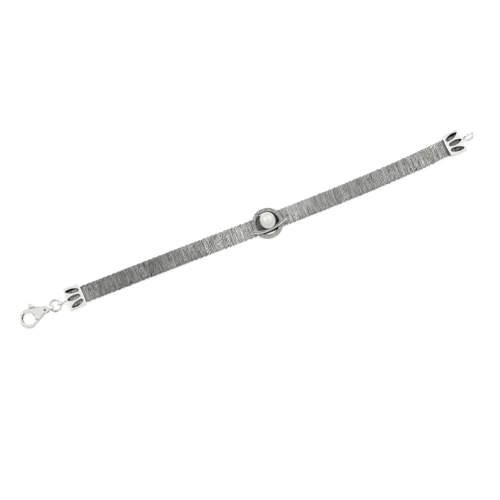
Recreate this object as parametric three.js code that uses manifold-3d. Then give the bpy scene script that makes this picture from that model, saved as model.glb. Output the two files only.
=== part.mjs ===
// Pearl bracelet lying open on a flat surface: a flat band wound with fine wire, a pearl in a round
// setting at its middle, a pierced cap on each end, a lobster clasp on the left and a ring on the right.
// Millimetres. +X runs along the bracelet from the clasp to the end ring, +Z is up, and z = 0 is the
// surface it lies on. Lengths along the band are counted from the middle of the setting.

import * as THREE from "three";
import { mergeVertices } from "three/addons/utils/BufferGeometryUtils.js";
import Module from "manifold-3d";

const wasm = await Module();
wasm.setup();

// ---------------------------------------------------------------- driving dimensions

const GAP = 0.3; // between pieces that rest on or against each other
const UP = Math.PI / 2;

const BAND = {
  width: 6.7,
  thickness: 2.2,
  corner: 0.95, // radius of the wound edge
  leftMouth: -76.4, // where the band enters the left cap
  rightMouth: 75.5,
  tuck: 5.3, // length hidden inside each cap
  rise: 14, // length over which each end climbs from the surface into its cap
  halfSpan: 75, // reference length for the bends below
  offset: 0.37, // the band's middle line, to the side of the setting's middle
  bow: 1.0,
  lean: -0.67,
  sway: 1.13,
};

const CAP = {
  length: 6.8,
  mouthWidth: 8.9,
  endWidth: 9.3,
  height: 3.9,
  lipBow: 0.3, // the mouth's lip bulges this far over the band
  corner: 0.9,
  edge: 0.4, // rounding of the upper and lower edges
  cavityLength: 6.0,
};

// One row for each leaf-shaped opening, from its round root near the band to its narrow tip.
const LEAVES = [
  { rootX: 0.65, rootY: 2.1, tipX: 5.6, tipY: 3.4 },
  { rootX: 1.05, rootY: 0.0, tipX: 6.2, tipY: 0.15 },
  { rootX: 0.8, rootY: -2.05, tipX: 5.8, tipY: -3.2 },
];
const LEAF = { root: 0.62, belly: 0.88, tip: 0.22 }; // radius at the root, half-widths beyond it

const CAP_LOOP = { radius: 1.5, wire: 0.8 }; // radius of the wire's middle line, wire's thickness
const END_RING = { radius: 2.05, wire: 1.1, tilt: (72 * Math.PI) / 180 };
const JUMP_RING = { radius: 2.15, wire: 0.86, play: 0.22, side: -0.1 };

const SETTING = {
  outerRadius: 6.0,
  innerRadius: 4.5,
  height: 1.4,
  plate: 0.5, // thickness of the dark plate
  plateWidth: 6.6,
  plateReach: 4.8, // the plate runs under the ring's inner wall
  pegRadius: 0.3,
  pegHeight: 1.8,
};

const PEARL = { radius: 3.0, x: 0.2, y: 0.65, holeRadius: 0.5, holeDepth: 2.2 };

// The two wires that lie side by side across the ring, as a chord bowed away from the pearl.
const CROSSOVER = {
  wire: 0.5,
  spacing: 0.49,
  leftX: -6.75,
  leftY: -1.25,
  rightX: 7.15,
  rightY: -0.85,
  bowY: -2.72, // how far the arc's middle lies from the middle of the setting
};

const CLASP = {
  pivotX: -92.05,
  pivotY: 0.56,
  turn: Math.PI + (5.9 * Math.PI) / 180,
  thickness: 3.2,
  edge: 0.5,
  loopX: 6.85, // middle of the round opening, from the pivot
  loopRadius: 3.75,
  openingRadius: 2.65,
  hubRadius: 1.65,
  slot: 1.8, // height of the slot between the two cheeks
  eyeX: -2.37,
  eyeRadius: 1.35,
  eyeHoleRadius: 0.78,
  eyeWidth: 1.7,
};

const LEVER = {
  thickness: 1.3,
  hubRadius: 0.95,
  holeRadius: 0.65,
  reach: 6.75, // from the pivot to the end of the gate arm
  tipFrom: 0.372, // the directions, in radians from the clasp's axis, that the arm's end spans
  tipTo: 0.494,
  nubThickness: 1.8,
};

const SLOT_BACK = LEVER.hubRadius + GAP; // the slot's closed end, behind the hub

const PIN = { radius: 0.42, length: 3.0 };

// ---------------------------------------------------------------- solids

function solid(geometry) {
  const bare = geometry.index ? geometry.toNonIndexed() : geometry.clone();
  bare.deleteAttribute("normal");
  bare.deleteAttribute("uv");
  const merged = mergeVertices(bare, 1e-4);
  return new wasm.Manifold(
    new wasm.Mesh({
      numProp: 3,
      vertProperties: new Float32Array(merged.attributes.position.array),
      triVerts: new Uint32Array(merged.index.array),
    }),
  );
}

function geometryOf(manifold) {
  const mesh = manifold.getMesh();
  const geometry = new THREE.BufferGeometry();
  geometry.setAttribute("position", new THREE.BufferAttribute(mesh.vertProperties, 3));
  geometry.setIndex(new THREE.BufferAttribute(mesh.triVerts, 1));
  const flat = geometry.toNonIndexed();
  flat.computeVertexNormals();
  return flat;
}

// A shape in the XY plane, thickened evenly above and below the height z.
function plate(shape, z, thickness, edge = 0, curveSegments = 8) {
  const geometry = new THREE.ExtrudeGeometry(shape, {
    depth: thickness - 2 * edge,
    bevelEnabled: edge > 0,
    bevelThickness: edge,
    bevelSize: edge,
    bevelOffset: -edge,
    bevelSegments: 2,
    curveSegments,
  });
  geometry.translate(0, 0, z - (thickness - 2 * edge) / 2);
  return solid(geometry);
}

function uprightCylinder(radius, length, x, y, z, sides = 16) {
  const geometry = new THREE.CylinderGeometry(radius, radius, length, sides);
  geometry.rotateX(UP);
  geometry.translate(x, y, z);
  return solid(geometry);
}

function post(radius, fromX, toX, z) {
  const geometry = new THREE.CylinderGeometry(radius, radius, toX - fromX, 10);
  geometry.rotateZ(UP);
  geometry.translate((fromX + toX) / 2, 0, z);
  return solid(geometry);
}

// ---------------------------------------------------------------- the band and where it runs

const smooth = (t) => THREE.MathUtils.smoothstep(t, 0, 1);

class BandLine extends THREE.Curve {
  constructor(fromX, toX) {
    super();
    this.fromX = fromX;
    this.toX = toX;
  }

  getPoint(t, target = new THREE.Vector3()) {
    const x = THREE.MathUtils.lerp(this.fromX, this.toX, t);
    return target.set(x, bandSide(x), bandHeight(x));
  }
}

function bandSide(x) {
  const s = x / BAND.halfSpan;
  return BAND.offset + BAND.lean * s + BAND.bow * s * s + BAND.sway * s * s * s;
}

function bandHeight(x) {
  const low = BAND.thickness / 2;
  const high = CAP.height / 2;
  const left = 1 - (x - BAND.leftMouth) / BAND.rise;
  const right = 1 - (BAND.rightMouth - x) / BAND.rise;
  return low + (high - low) * smooth(Math.max(left, right));
}

function bandHeading(x) {
  return Math.atan2(bandSide(x + 0.5) - bandSide(x - 0.5), 1);
}

// The extrusion lays a section's x across the band's thickness and its y across the width.
function bandSection() {
  const x = BAND.thickness / 2 - BAND.corner;
  const y = BAND.width / 2 - BAND.corner;
  const section = new THREE.Shape();
  section.absarc(x, -y, BAND.corner, -UP, 0);
  section.absarc(x, y, BAND.corner, 0, UP);
  section.absarc(-x, y, BAND.corner, UP, 2 * UP);
  section.absarc(-x, -y, BAND.corner, 2 * UP, 3 * UP);
  return section;
}

function band() {
  return new THREE.ExtrudeGeometry(bandSection(), {
    steps: 60,
    curveSegments: 2,
    extrudePath: new BandLine(BAND.leftMouth - BAND.tuck, BAND.rightMouth + BAND.tuck),
  });
}

// ---------------------------------------------------------------- end caps
// A cap's own frame has its mouth at x = 0, its closed end at x = CAP.length and z = 0 below it.

function capOutline() {
  const { length, corner } = CAP;
  const mouth = CAP.mouthWidth / 2;
  const end = CAP.endWidth / 2;
  const outline = new THREE.Shape();
  outline.moveTo(0, mouth);
  outline.quadraticCurveTo(-2 * CAP.lipBow, 0, 0, -mouth);
  outline.lineTo(length - corner, -end);
  outline.absarc(length - corner, corner - end, corner, -UP, 0);
  outline.absarc(length - corner, end - corner, corner, 0, UP);
  return outline;
}

function leaf({ rootX, rootY, tipX, tipY }) {
  const length = Math.hypot(tipX - rootX, tipY - rootY);
  const { root, belly, tip } = LEAF;
  const shape = new THREE.Shape();
  shape.moveTo(length, tip / 2);
  shape.bezierCurveTo(0.8 * length, belly, 0.42 * length, 1.25 * belly, root, root);
  shape.absarc(root, 0, root, UP, 3 * UP);
  shape.bezierCurveTo(0.42 * length, -1.25 * belly, 0.8 * length, -belly, length, -tip / 2);
  const bottom = (CAP.height - cavityHeight()) / 2;
  const cutter = new THREE.ExtrudeGeometry(shape, {
    depth: CAP.height,
    bevelEnabled: false,
    curveSegments: 5,
  });
  cutter.rotateZ(Math.atan2(tipY - rootY, tipX - rootX));
  cutter.translate(rootX, rootY, bottom);
  return solid(cutter);
}

function cavityHeight() {
  return BAND.thickness + 2 * GAP;
}

function cavity() {
  const overrun = 2;
  const length = CAP.cavityLength + overrun;
  const geometry = new THREE.BoxGeometry(length, BAND.width + 2 * GAP, cavityHeight());
  geometry.translate(length / 2 - overrun, 0, CAP.height / 2);
  return solid(geometry);
}

function piercedCap() {
  let cap = plate(capOutline(), CAP.height / 2, CAP.height, CAP.edge, 6);
  cap = cap.subtract(cavity());
  for (const row of LEAVES) cap = cap.subtract(leaf(row));
  return cap;
}

// An upright loop, soldered by a short foot to the middle of the cap's closed end.
function leftCap() {
  const { radius, wire } = CAP_LOOP;
  const loop = new THREE.TorusGeometry(radius, wire / 2, 10, 24);
  loop.rotateX(UP);
  loop.translate(capLoopX(), 0, CAP.height / 2);
  const foot = post(wire * 0.6, CAP.length - 0.4, CAP.length + wire, CAP.height / 2);
  return piercedCap().add(foot).add(solid(loop));
}

function capLoopX() {
  return CAP.length + CAP_LOOP.radius + CAP_LOOP.wire / 2 - 0.1;
}

// A heavier ring for the clasp's hook, soldered on leaning back from upright.
function rightCap() {
  const { radius, wire, tilt } = END_RING;
  const height = radius * Math.sin(tilt) + wire / 2 + 0.05;
  const ring = new THREE.TorusGeometry(radius, wire / 2, 10, 24);
  ring.rotateX(tilt);
  ring.translate(CAP.length + radius + wire / 2 - 0.05, 0, height);
  const foot = post(wire * 0.55, CAP.length - 0.4, CAP.length + wire, height);
  return piercedCap().add(foot).add(solid(ring));
}

// ---------------------------------------------------------------- setting, pearl and crossing wires

const settingBottom = BAND.thickness + GAP;
const settingTop = settingBottom + SETTING.height;
const plateTop = settingBottom + SETTING.plate;
const pearlHeight = plateTop + GAP + PEARL.radius;

function settingRing() {
  const { outerRadius: outer, innerRadius: inner, height } = SETTING;
  const edge = 0.25;
  const profile = [
    new THREE.Vector2(inner, 0),
    new THREE.Vector2(outer, 0),
    new THREE.Vector2(outer, height - edge),
    new THREE.Vector2(outer - edge, height),
    new THREE.Vector2(inner + edge, height),
    new THREE.Vector2(inner, height - edge),
    new THREE.Vector2(inner, 0),
  ];
  const ring = new THREE.LatheGeometry(profile, 40);
  ring.rotateX(UP);
  ring.translate(0, 0, settingBottom);
  return solid(ring);
}

function settingPlate() {
  const reach = SETTING.plateReach;
  const turn = Math.asin(SETTING.plateWidth / 2 / reach);
  const outline = new THREE.Shape();
  outline.absarc(0, 0, reach, -turn, turn);
  outline.absarc(0, 0, reach, 2 * UP - turn, 2 * UP + turn);
  return plate(outline, settingBottom + SETTING.plate / 2, SETTING.plate);
}

function setting() {
  const { pegRadius, pegHeight } = SETTING;
  const pegZ = plateTop + pegHeight / 2 - 0.1;
  const peg = uprightCylinder(pegRadius, pegHeight, PEARL.x, PEARL.y, pegZ, 10);
  return settingRing().add(settingPlate()).add(peg);
}

function pearl() {
  const ball = new THREE.SphereGeometry(PEARL.radius, 24, 16);
  ball.rotateX(UP);
  ball.translate(PEARL.x, PEARL.y, pearlHeight);
  const holeZ = pearlHeight - PEARL.radius + PEARL.holeDepth / 2 - 0.2;
  const { holeRadius, holeDepth } = PEARL;
  return solid(ball).subtract(
    uprightCylinder(holeRadius, holeDepth, PEARL.x, PEARL.y, holeZ, 10),
  );
}

// Both wires as one solid: two round sections side by side, fused where they touch.
function crossoverWires() {
  const { wire, spacing, leftX, leftY, rightX, rightY, bowY } = CROSSOVER;
  const low = BAND.thickness + GAP;
  const high = settingTop + GAP + wire / 2;
  const ringCrossing = SETTING.outerRadius - 0.15;
  const path = new THREE.CatmullRomCurve3(
    [
      new THREE.Vector3(leftX, leftY, low),
      new THREE.Vector3(leftX + 0.2, leftY - 0.05, low + 1.1),
      new THREE.Vector3(-ringCrossing, leftY - 0.4, high),
      new THREE.Vector3(-3.2, bowY + 0.3, high + 0.1),
      new THREE.Vector3(0, bowY, high + 0.1),
      new THREE.Vector3(3.4, bowY + 0.45, high + 0.1),
      new THREE.Vector3(ringCrossing + 0.1, rightY - 0.5, high),
      new THREE.Vector3(rightX - 0.3, rightY - 0.1, low + 1.1),
      new THREE.Vector3(rightX, rightY, low),
    ],
    false,
    "centripetal",
  );
  const section = new THREE.Shape();
  const flank = Math.acos(spacing / wire);
  section.absarc(spacing / 2, 0, wire / 2, flank - 2 * UP, 2 * UP - flank);
  section.absarc(-spacing / 2, 0, wire / 2, flank, 4 * UP - flank);
  return new THREE.ExtrudeGeometry(section, {
    steps: 36,
    curveSegments: 3,
    extrudePath: path,
  });
}

// ---------------------------------------------------------------- clasp
// The clasp's own frame has the pivot at the origin, +x towards the hook, +y towards the gate and
// z = 0 halfway through its thickness.

// Two circles joined by straight flanks: a small one at the pivot and the large one of the hook.
function teardrop() {
  const { hubRadius, loopX, loopRadius } = CLASP;
  const flank = Math.acos((hubRadius - loopRadius) / loopX);
  const outline = new THREE.Shape();
  outline.absarc(loopX, 0, loopRadius, -flank, flank);
  outline.absarc(0, 0, hubRadius, flank, 4 * UP - flank);
  return outline;
}

// What is left open for the gate arm, up to a rim that the arm's end sweeps past.
function gateMouth() {
  const rim = LEVER.reach + GAP;
  const mouth = new THREE.Shape();
  mouth.moveTo(-3, 1.0);
  mouth.lineTo(0.1, 0.95);
  mouth.quadraticCurveTo(2.0, 0.75, 3.6, 2.35);
  mouth.lineTo(4.9, 0.9);
  mouth.lineTo(6.3, 1.0);
  mouth.absarc(0, 0, rim, 0.3, 0.6);
  mouth.lineTo(5, 6);
  mouth.lineTo(-3, 6);
  return mouth;
}

// Room between the cheeks for the hub, the gate arm's swing and the tab arm's swing.
function slotOutlines() {
  const gateSwing = new THREE.Shape([
    new THREE.Vector2(-0.2, -1.25),
    new THREE.Vector2(5.2, -0.75),
    new THREE.Vector2(5.2, 5),
    new THREE.Vector2(-SLOT_BACK, 5),
    new THREE.Vector2(-SLOT_BACK, 0),
  ]);
  const tabSwing = new THREE.Shape([
    new THREE.Vector2(1.25, 0.2),
    new THREE.Vector2(4.1, -4.2),
    new THREE.Vector2(-0.4, -4.2),
    new THREE.Vector2(-SLOT_BACK, 0),
  ]);
  return [gateSwing, tabSwing];
}

function claspEye() {
  const { eyeX, eyeRadius: outer, eyeHoleRadius: inner, eyeWidth } = CLASP;
  const half = eyeWidth / 2;
  const edge = 0.25;
  const profile = [
    new THREE.Vector2(inner, -half + edge),
    new THREE.Vector2(inner + edge, -half),
    new THREE.Vector2(outer - edge, -half),
    new THREE.Vector2(outer, -half + edge),
    new THREE.Vector2(outer, half - edge),
    new THREE.Vector2(outer - edge, half),
    new THREE.Vector2(inner + edge, half),
    new THREE.Vector2(inner, half - edge),
    new THREE.Vector2(inner, -half + edge),
  ];
  const eye = new THREE.LatheGeometry(profile, 24);
  eye.translate(eyeX, 0, 0);
  return solid(eye);
}

function claspBody() {
  const { thickness, edge, slot, loopX, openingRadius, eyeX, eyeHoleRadius } = CLASP;
  const tall = thickness + 1;
  let body = plate(teardrop(), 0, thickness, edge, 12).add(claspEye());
  body = body.subtract(uprightCylinder(openingRadius, tall, loopX, 0, 0, 28));
  body = body.subtract(plate(gateMouth(), 0, tall, 0, 10));
  for (const outline of slotOutlines()) body = body.subtract(plate(outline, 0, slot));
  body = body.subtract(uprightCylinder(LEVER.holeRadius, tall, 0, 0, 0));
  const eyeBore = new THREE.CylinderGeometry(eyeHoleRadius, eyeHoleRadius, 2 * tall, 24);
  eyeBore.translate(eyeX, 0, 0);
  return body.subtract(solid(eyeBore));
}

// Both corners of the arm's end are LEVER.reach from the pivot, so it clears the hook as it opens.
function gateArm() {
  const { reach, tipFrom, tipTo } = LEVER;
  const arm = new THREE.Shape();
  arm.moveTo(-0.4, 0.9);
  arm.lineTo(4.3, 2.85);
  arm.quadraticCurveTo(5.2, 3.2, reach * Math.cos(tipTo), reach * Math.sin(tipTo));
  arm.lineTo(reach * Math.cos(tipFrom), reach * Math.sin(tipFrom));
  arm.quadraticCurveTo(5.2, 2.0, 4.5, 1.35);
  arm.lineTo(2.9, 0.75);
  arm.lineTo(0.6, -0.5);
  return arm;
}

function tabArm() {
  const arm = new THREE.Shape();
  arm.moveTo(-0.55, -0.6);
  arm.lineTo(-0.2, -1.5);
  arm.lineTo(1.4, -2.6);
  arm.lineTo(3.0, -3.45);
  arm.lineTo(3.4, -3.4);
  arm.lineTo(2.95, -2.85);
  arm.lineTo(1.55, -1.75);
  arm.lineTo(0.75, -0.45);
  return arm;
}

function nub() {
  const outline = new THREE.Shape();
  outline.moveTo(2.65, -3.2);
  outline.lineTo(3.35, -4.7);
  outline.quadraticCurveTo(3.6, -5.3, 4.2, -5.35);
  outline.quadraticCurveTo(4.95, -5.4, 5.05, -4.8);
  outline.lineTo(5.15, -3.72);
  outline.quadraticCurveTo(4.2, -3.42, 3.3, -3.08);
  return outline;
}

function lever() {
  const { thickness, hubRadius, holeRadius, nubThickness } = LEVER;
  const hub = uprightCylinder(hubRadius, thickness, 0, 0, 0, 20);
  return hub
    .add(plate(gateArm(), 0, thickness, 0.2))
    .add(plate(tabArm(), 0, thickness, 0.15))
    .add(plate(nub(), 0, nubThickness, 0.3))
    .subtract(uprightCylinder(holeRadius, nubThickness, 0, 0, 0));
}

// ---------------------------------------------------------------- assembly

const polishedSilver = { color: 0xe4e1da, roughness: 0.22, metalness: 1 };
const woundSilver = { color: 0x8c8884, roughness: 0.5, metalness: 0.9 };
const darkSilver = { color: 0x8f8f8d, roughness: 0.65, metalness: 0.8 };
const pearlWhite = { color: 0xe6e4dc, roughness: 0.3, metalness: 0 };

function piece(name, geometry, finish) {
  const mesh = new THREE.Mesh(geometry, new THREE.MeshStandardMaterial(finish));
  mesh.name = name;
  return mesh;
}

function leftCapGroup() {
  const group = new THREE.Group();
  group.position.set(BAND.leftMouth, bandSide(BAND.leftMouth), 0);
  group.rotation.z = 2 * UP + bandHeading(BAND.leftMouth);
  group.add(piece("end_cap_left", geometryOf(leftCap()), polishedSilver));
  group.add(jumpRing());
  return group;
}

// It lies level through the cap's loop and the clasp's eye, drawn out towards the clasp.
function jumpRing() {
  const { radius, wire } = JUMP_RING;
  const ring = piece("jump_ring", new THREE.TorusGeometry(radius, wire / 2, 10, 32), polishedSilver);
  const reach = CAP_LOOP.radius - CAP_LOOP.wire / 2 - wire / 2 - JUMP_RING.play;
  const drop = CAP.height / 2 - CLASP.thickness / 2;
  ring.position.set(capLoopX() + reach + radius, JUMP_RING.side, (CAP.height + CLASP.thickness) / 4);
  ring.rotation.y = Math.atan2(drop, 2 * radius);
  return ring;
}

function rightCapGroup() {
  const group = new THREE.Group();
  group.position.set(BAND.rightMouth, bandSide(BAND.rightMouth), 0);
  group.rotation.z = bandHeading(BAND.rightMouth);
  group.add(piece("end_cap_right", geometryOf(rightCap()), polishedSilver));
  return group;
}

function claspGroup() {
  const group = new THREE.Group();
  group.position.set(CLASP.pivotX, CLASP.pivotY, CLASP.thickness / 2);
  group.rotation.z = CLASP.turn;
  group.add(piece("clasp_body", geometryOf(claspBody()), polishedSilver));
  group.add(piece("clasp_lever", geometryOf(lever()), polishedSilver));
  const pin = new THREE.CylinderGeometry(PIN.radius, PIN.radius, PIN.length, 12);
  pin.rotateX(UP);
  group.add(piece("clasp_pin", pin, polishedSilver));
  return group;
}

const layout = new THREE.Group();
layout.add(piece("band", band(), woundSilver));
layout.add(piece("setting", geometryOf(setting()), darkSilver));
layout.add(piece("pearl", geometryOf(pearl()), pearlWhite));
layout.add(piece("crossover_wires", crossoverWires(), polishedSilver));
layout.add(leftCapGroup());
layout.add(rightCapGroup());
layout.add(claspGroup());

// The part's origin is the middle of the bracelet's footprint, on the surface it lies on.
const extent = new THREE.Box3().setFromObject(layout, true);
const middle = extent.getCenter(new THREE.Vector3());
layout.position.set(-middle.x, -middle.y, -extent.min.z);

const bracelet = new THREE.Group();
bracelet.add(layout);

export default bracelet;
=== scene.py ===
"""A pearl bracelet lying open: a band wound with fine oxidised silver wire, a pearl in a round setting,
two pierced end caps, a lobster clasp with its jump ring, and an end ring."""

import math

import bpy
import numpy as np
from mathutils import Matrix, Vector


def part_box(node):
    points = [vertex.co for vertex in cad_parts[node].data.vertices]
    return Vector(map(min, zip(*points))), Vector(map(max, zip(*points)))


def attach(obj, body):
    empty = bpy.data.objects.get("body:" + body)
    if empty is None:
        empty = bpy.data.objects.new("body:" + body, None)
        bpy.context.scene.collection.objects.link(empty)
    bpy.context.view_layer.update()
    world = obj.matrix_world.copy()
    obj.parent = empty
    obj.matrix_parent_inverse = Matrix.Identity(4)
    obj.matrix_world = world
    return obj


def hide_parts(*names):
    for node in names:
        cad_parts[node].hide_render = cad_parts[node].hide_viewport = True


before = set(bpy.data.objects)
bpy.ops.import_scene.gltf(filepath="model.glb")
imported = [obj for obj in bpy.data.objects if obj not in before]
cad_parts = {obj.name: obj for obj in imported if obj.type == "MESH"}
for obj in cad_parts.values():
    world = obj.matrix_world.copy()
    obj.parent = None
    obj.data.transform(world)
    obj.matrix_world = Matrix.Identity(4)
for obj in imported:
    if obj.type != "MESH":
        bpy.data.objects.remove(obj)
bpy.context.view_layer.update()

MM = 0.001
TURN = 2 * math.pi
QUARTER = math.pi / 2

# ---------------------------------------------------------------- sizes, in millimetres
# Layout millimetres: x along the bracelet and y across it, from the middle of the setting, z from
# the floor. Radii, half-widths and reaches are from a piece's own middle or pivot. Angles are in radians.

GAP = 0.3  # between pieces that lie face to face
CLEAR = 0.5  # how far a cutter reaches past the metal that it cuts

# The band's envelope, which its wires stay a little below. The caps' mouths are its visible ends, and
# it is tucked into them. Its middle line in plan is a cubic: offset, lean, bow and sway are its terms.
BAND = {
    "width": 7.1,
    "thickness": 2.2,
    "corner": 0.68,
    "left_mouth": -76.4,
    "right_mouth": 75.5,
    "tuck": 5.8,
    "rise": 14,
    "half_span": 75,
    "offset": 0.37,
    "bow": 1.0,
    "lean": -0.67,
    "sway": 1.13,
}

# An end cap, from its mouth at x = 0 to its closed end, and the hollow that the band goes into.
CAP = {
    "length": 6.8,
    "mouth_width": 8.9,
    "end_width": 9.3,
    "height": 3.9,
    "lip_bow": 0.3,
    "corner": 0.9,
    "edge": 0.4,
    "cavity_width": 7.3,
    "cavity_length": 6.0,
    "cavity_front": -2,
    "rim": 0.12,
}

# The leaf-shaped openings in a cap, from root to tip.
LEAVES = [
    {"root": (0.65, 2.1), "tip": (5.6, 3.4)},
    {"root": (1.05, 0.0), "tip": (6.2, 0.15)},
    {"root": (0.8, -2.05), "tip": (5.8, -3.2)},
]
LEAF = {"root": 0.62, "belly": 0.88, "tip": 0.22}  # half-widths

CAP_LOOP = {"radius": 1.5, "wire": 0.8, "foot": 0.48}
END_RING = {"radius": 2.05, "wire": 1.1, "foot": 0.605, "tilt": math.radians(72)}
JUMP_RING = {"radius": 2.15, "wire": 0.86, "play": 0.22, "side": -0.1, "seam": 0.03, "seam_at": 1.9}

# The setting's ring, the plate inside it between two straight sides, and the pearl's peg.
SETTING = {
    "outer": 6.0,
    "inner": 4.5,
    "bottom": 2.2,
    "top": 3.9,
    "edge": 0.3,
    "plate_top": 3.0,
    "plate_low": -3.68,
    "plate_high": 3.86,
    "plate_reach": 4.8,
    "plate_teeth": 0.8,
    "teeth_depth": 0.12,
    "peg_radius": 0.3,
    "peg_top": 4.7,
}

# The pearl's middle, its hole, which ends at hole_top from the middle, and its stretch across the band.
PEARL = {
    "radius": 3.0,
    "x": 0.2,
    "y": 0.65,
    "z": 6.3,
    "hole": 0.5,
    "hole_top": -0.9,
    "stretch": 1.08,
}

# The crossing wires: thicknesses, the length of one twist, and the height above the ring's top.
CROSSOVER = {"plain": 0.48, "strand": 0.18, "twist": 1.05, "height": 0.55}

# The clasp, from its pivot: the hook's round is at loop_x, and the eye is on the other side.
CLASP = {
    "pivot": (-92.05, 0.56),
    "turn": math.pi + math.radians(5.9),
    "thickness": 3.2,
    "edge": 0.5,
    "loop_x": 6.85,
    "loop_radius": 3.75,
    "opening": 2.38,
    "opening_rim": 0.42,
    "hub": 1.65,
    "slot": 1.8,
    "eye_x": -2.37,
    "eye_radius": 1.35,
    "eye_hole": 0.78,
    "eye_width": 1.7,
    "eye_edge": 0.26,
}

# The gate, from the same pivot. tip_from and tip_to are the angles of its tip's corners.
LEVER = {
    "thickness": 1.3,
    "hub": 0.95,
    "hole": 0.65,
    "reach": 6.75,
    "tip_from": 0.372,
    "tip_to": 0.494,
    "nub": 1.8,
}

PIN = {"radius": 0.42, "length": 3.0, "dome": 0.12, "clearance": 0.06}

pearl_low, pearl_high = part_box("pearl")
middle_x, middle_y = (pearl_low.x + pearl_high.x) / 2, (pearl_low.y + pearl_high.y) / 2
DATUM = np.array([middle_x - PEARL["x"] * MM, middle_y - PEARL["y"] * MM, 0])


def to_world(points):
    """Places in metres, in the frame of the CAD model, from layout millimetres."""
    return np.asarray(points, float) * MM + DATUM


# ---------------------------------------------------------------- camera

CAMERA = {
    "azimuth": math.radians(-22.1),
    "elevation": math.radians(78),
    "target": (-10.2, -7.2, 3),
    "half_width": 96.15,  # of the view, at the target
    "lens": 500,
    "sensor": 36,
}


def lens_way():
    """The direction from the bracelet to the lens."""
    azimuth, elevation = CAMERA["azimuth"], CAMERA["elevation"]
    level = math.cos(elevation)
    return Vector((math.sin(azimuth) * level, -math.cos(azimuth) * level, math.sin(elevation)))


LENS_WAY = lens_way()


def make_camera():
    """A long lens looking down on the bracelet, with the clasp at the lower left."""
    target = Vector(to_world(CAMERA["target"]))
    distance = CAMERA["half_width"] * MM * CAMERA["lens"] / (CAMERA["sensor"] / 2)
    data = bpy.data.cameras.new("camera")
    data.lens = CAMERA["lens"]
    data.sensor_width = CAMERA["sensor"]
    data.clip_start = 0.01
    data.clip_end = 20
    camera = bpy.data.objects.new("camera", data)
    camera.location = target + LENS_WAY * distance
    camera.rotation_mode = "QUATERNION"
    camera.rotation_quaternion = (-LENS_WAY).to_track_quat("-Z", "Y")
    bpy.context.scene.collection.objects.link(camera)
    bpy.context.scene.camera = camera


# ---------------------------------------------------------------- directions in plan

ALONG, ACROSS = (1, 0, 0), (0, 1, 0)
OVER_HATCH = (-0.49, 0.872, 0)  # square to the leaning painted shade lines
AWAY_FROM_WIRES = (-0.59, 0.81, 0)  # from the setting's middle
HOOK_OUTWARDS = (-0.93, 0.38, 0)  # from the hook's middle

# ---------------------------------------------------------------- node helpers


def new_group(name, inputs, outputs):
    """An empty node group. inputs and outputs are rows of name, kind and starting value."""
    group = bpy.data.node_groups.new(name, "ShaderNodeTree")
    for label, kind, value in inputs:
        socket = group.interface.new_socket(label, in_out="INPUT", socket_type=f"NodeSocket{kind}")
        if value is not None:
            socket.default_value = value
    for label, kind in outputs:
        group.interface.new_socket(label, in_out="OUTPUT", socket_type=f"NodeSocket{kind}")
    start = group.nodes.new("NodeGroupInput")
    end = group.nodes.new("NodeGroupOutput")
    return group, start.outputs, end.inputs


def node(tree, kind, links=None, **settings):
    """A node with its settings, and its inputs linked or set by name or number."""
    made = tree.nodes.new("ShaderNode" + kind)
    for key, value in settings.items():
        setattr(made, key, value)
    for key, value in (links or {}).items():
        if isinstance(value, bpy.types.NodeSocket):
            tree.links.new(value, made.inputs[key])
        else:
            made.inputs[key].default_value = value
    return made


def scaled(tree, vector, scale, turn=0.0):
    """The place scaled along each axis, and then turned about z."""
    mapping = node(tree, "Mapping", {"Vector": vector, "Scale": scale})
    mapping.inputs["Rotation"].default_value = (0, 0, turn)
    return mapping.outputs["Vector"]


def noise(tree, vector, scale, detail=3.0, roughness=0.5):
    """Cloudy values from 0 to 1, scale clouds to a millimetre."""
    made = node(tree, "TexNoise", {"Vector": vector, "Scale": scale})
    made.inputs["Detail"].default_value = detail
    made.inputs["Roughness"].default_value = roughness
    return made.outputs["Fac"]


def remap(tree, value, low, high, to_low=0.0, to_high=1.0):
    """The value with low to high stretched to another range, and cut off beyond it."""
    made = node(tree, "MapRange", {"Value": value, "From Min": low, "From Max": high})
    made.inputs["To Min"].default_value = to_low
    made.inputs["To Max"].default_value = to_high
    return made.outputs["Result"]


def math_node(tree, operation, a, b):
    """A sum, product or the like of two values."""
    return node(tree, "Math", {0: a, 1: b}, operation=operation).outputs["Value"]


def mix_colour(tree, factor, a, b, blend="MIX"):
    """Colour a at factor 0 and colour b at factor 1, or the blend of the two."""
    made = node(tree, "Mix", {0: factor, 6: a, 7: b}, data_type="RGBA", blend_type=blend)
    return made.outputs[2]


def bump(tree, height, distance, strength):
    """A normal from heights, where 1 is a distance in metres."""
    made = node(tree, "Bump", {"Height": height, "Strength": strength})
    made.inputs["Distance"].default_value = distance
    return made.outputs["Normal"]


# ---------------------------------------------------------------- shared effects


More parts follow.
